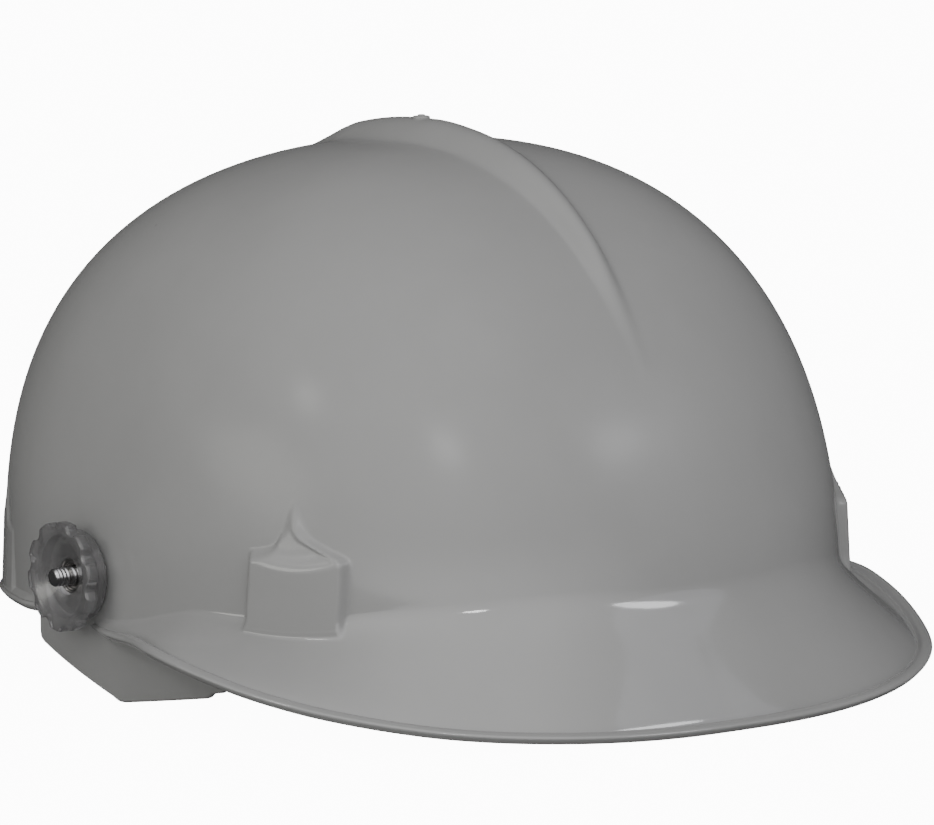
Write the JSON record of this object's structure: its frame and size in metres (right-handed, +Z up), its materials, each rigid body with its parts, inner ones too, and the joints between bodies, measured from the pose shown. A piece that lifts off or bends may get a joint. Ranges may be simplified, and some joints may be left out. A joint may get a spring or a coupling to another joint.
{
  "type": "bump cap",
  "caption": "Domed bump cap with a sweeping bill, raised crest, side lugs, an adjustable pin suspension, and side studs with clear clamp knobs for a face shield.",
  "frame": {"origin": "centre of the part's box, on the level plane that the cap stands on (the lower corners of the two side lugs and the front of the bill's underside)", "axes": "+Z up, -Y to the front of the cap (the bill), -X to the wearer's right"},
  "size_m": [0.2262, 0.2494, 0.1426],
  "materials": {
    "shell_plastic": "satin-gloss moulded polyethylene, mid grey",
    "stud_steel": "bright plated thread",
    "washer_steel": "plain stamped",
    "washer_fibre": "matt black",
    "insert_steel": "turned, darkened",
    "clear_plastic": "clear grey moulded, polished",
    "hanger_plastic": "fine moulded",
    "suspension_plastic": "fine moulded",
    "pin_plastic": "moulded",
    "pad_fabric": "perforated padded sweatband",
    "strap_webbing": "flat woven webbing"
  },
  "bodies": {
    "root": {"shell": "shell_plastic", "stud_right": "stud_steel", "stud_left": "stud_steel", "inner_washer_right": "washer_steel", "inner_washer_left": "washer_steel", "hanger_front_right": "hanger_plastic", "hanger_front_left": "hanger_plastic", "hanger_rear_right": "hanger_plastic", "hanger_rear_left": "hanger_plastic", "headband": "suspension_plastic", "nape_pin_right": "pin_plastic", "nape_pin_left": "pin_plastic", "brow_pad": "pad_fabric", "crown_strap_a": "strap_webbing", "crown_strap_b": "strap_webbing", "crown_rivet": "pin_plastic"},
    "clamp_right": {"friction_washer_right": "washer_fibre"},
    "knob_right_turning": {"knob_right": "clear_plastic", "knob_insert_right": "insert_steel"},
    "clamp_left": {"friction_washer_left": "washer_fibre"},
    "knob_left_turning": {"knob_left": "clear_plastic", "knob_insert_left": "insert_steel"},
    "nape": {"nape_strap": "suspension_plastic"}
  },
  "joints": [
    {"name": "knob_travel_right", "type": "slide", "parent": "root", "child": "clamp_right", "axis": [-1, 0, 0], "range_m": [0, 0.00424]},
    {"name": "knob_spin_right", "type": "hinge", "parent": "clamp_right", "child": "knob_right_turning", "pos_m": [-0.1, 0.0166, 0.0312], "axis": [-1, 0, 0], "range_deg": [0, 1440]},
    {"name": "knob_travel_left", "type": "slide", "parent": "root", "child": "clamp_left", "axis": [1, 0, 0], "range_m": [0, 0.00424]},
    {"name": "knob_spin_left", "type": "hinge", "parent": "clamp_left", "child": "knob_left_turning", "pos_m": [0.1, 0.0166, 0.0312], "axis": [1, 0, 0], "range_deg": [0, 1440]},
    {"name": "nape_adjust", "type": "slide", "parent": "root", "child": "nape", "axis": [0, 1, 0], "range_m": [0, 0.01]}
  ],
  "couplings": [
    {"joint": "knob_travel_right", "follows": "knob_spin_right", "m_per_rad": 0.00016844},
    {"joint": "knob_travel_left", "follows": "knob_spin_left", "m_per_rad": 0.00016844}
  ]
}
